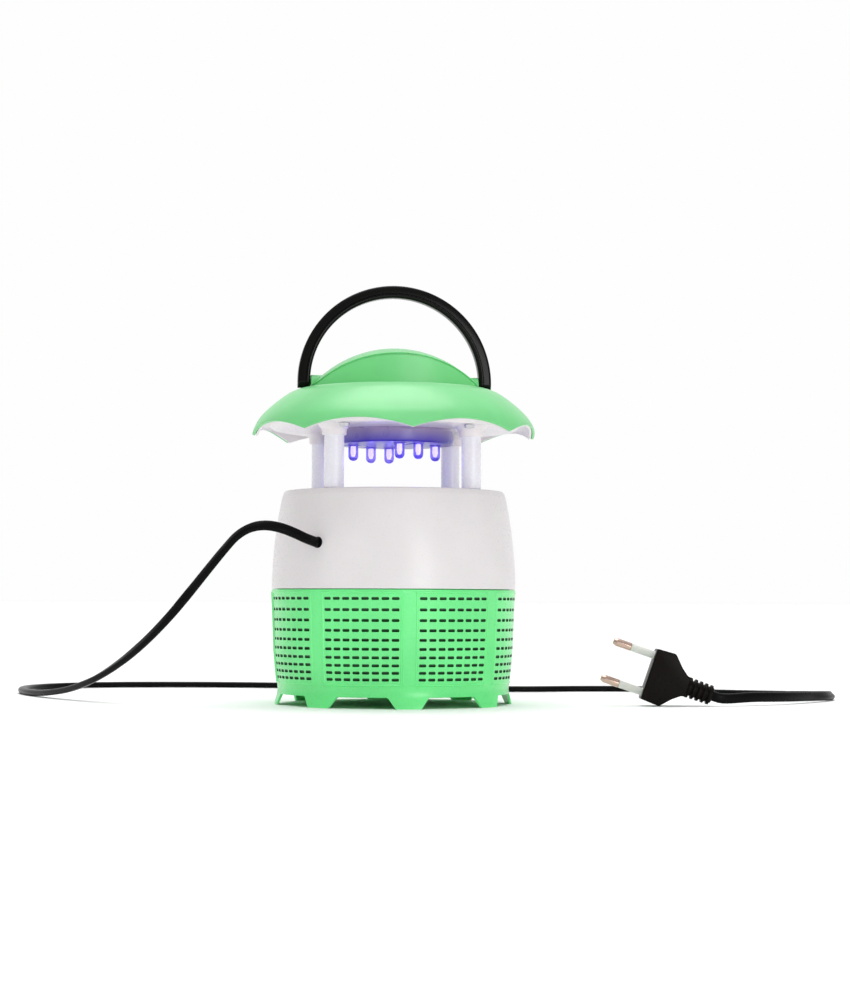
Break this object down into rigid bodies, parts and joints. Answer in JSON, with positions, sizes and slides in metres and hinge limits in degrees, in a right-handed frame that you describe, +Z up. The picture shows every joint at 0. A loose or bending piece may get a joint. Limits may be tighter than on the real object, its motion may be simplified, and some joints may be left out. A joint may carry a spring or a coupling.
{
  "type": "electric bug zapper",
  "caption": "Fan-suction insect trap: umbrella shade with violet lamps over a white fan housing, slotted collecting basket, carrying bail and mains cord.",
  "frame": {"origin": "middle of the circle of feet, on the surface that the trap stands on", "axes": "+Z up along the drum's axis, -Y to the front, +X to the right seen from the front; the bail's pivots lie on X"},
  "size_m": [0.4263, 0.282, 0.2091],
  "materials": {
    "green_plastic": "satin moulded",
    "white_plastic": "satin moulded",
    "frosted_plastic": "translucent white moulded",
    "black_plastic": "gloss moulded",
    "black_cord": "soft satin",
    "violet_lamp": "clear lamp lens",
    "grey_plastic": "matte moulded",
    "circuit_board": "solder mask",
    "steel": "plated",
    "plug_metal": "nickel plated",
    "pin_sleeve": "matte moulded"
  },
  "bodies": {
    "trap_body": {"top_cover": "green_plastic", "shade_liner": "white_plastic", "housing": "white_plastic", "base_plate": "white_plastic", "fan_guard": "white_plastic", "pillar_1": "frosted_plastic", "pillar_2": "frosted_plastic", "pillar_3": "frosted_plastic", "pillar_4": "frosted_plastic", "plug_body": "black_plastic", "supply_capacitor": "black_plastic", "power_cord": "black_cord", "cord_gland": "black_cord", "lamp_lead": "black_cord", "fan_lead": "black_cord", "mains_lead": "black_cord", "led_1": "violet_lamp", "led_2": "violet_lamp", "led_3": "violet_lamp", "led_4": "violet_lamp", "led_5": "violet_lamp", "led_6": "violet_lamp", "supply_transformer": "grey_plastic", "led_board": "circuit_board", "supply_board": "circuit_board", "fan_motor": "steel", "shade_screw_1": "steel", "shade_screw_2": "steel", "shade_screw_3": "steel", "shade_screw_4": "steel", "plate_screw_1": "steel", "plate_screw_2": "steel", "plate_screw_3": "steel", "pillar_low_screw_1": "steel", "pillar_low_screw_2": "steel", "pillar_low_screw_4": "steel", "pillar_top_screw_1": "steel", "pillar_top_screw_2": "steel", "pillar_top_screw_4": "steel", "motor_screw_1": "steel", "motor_screw_2": "steel", "led_board_screw_1": "steel", "led_board_screw_2": "steel", "board_screw_1": "steel", "board_screw_2": "steel", "plug_pin_1": "plug_metal", "plug_pin_2": "plug_metal", "pin_sleeve_1": "pin_sleeve", "pin_sleeve_2": "pin_sleeve"},
    "handle": {"handle": "black_plastic"},
    "fan": {"fan_impeller": "grey_plastic", "motor_shaft": "steel"},
    "basket": {"basket": "green_plastic"}
  },
  "joints": [
    {"name": "handle_swing", "type": "hinge", "parent": "trap_body", "child": "handle", "pos_m": [0, 0, 0.1603], "axis": [1, 0, 0], "range_deg": [-88, 88]},
    {"name": "fan_spin", "type": "hinge", "parent": "trap_body", "child": "fan", "pos_m": [0, 0, 0.078], "axis": [0, 0, 1], "continuous": true},
    {"name": "basket_pull", "type": "slide", "parent": "trap_body", "child": "basket", "axis": [0, 0, -1], "range_m": [0, 0.075]}
  ]
}
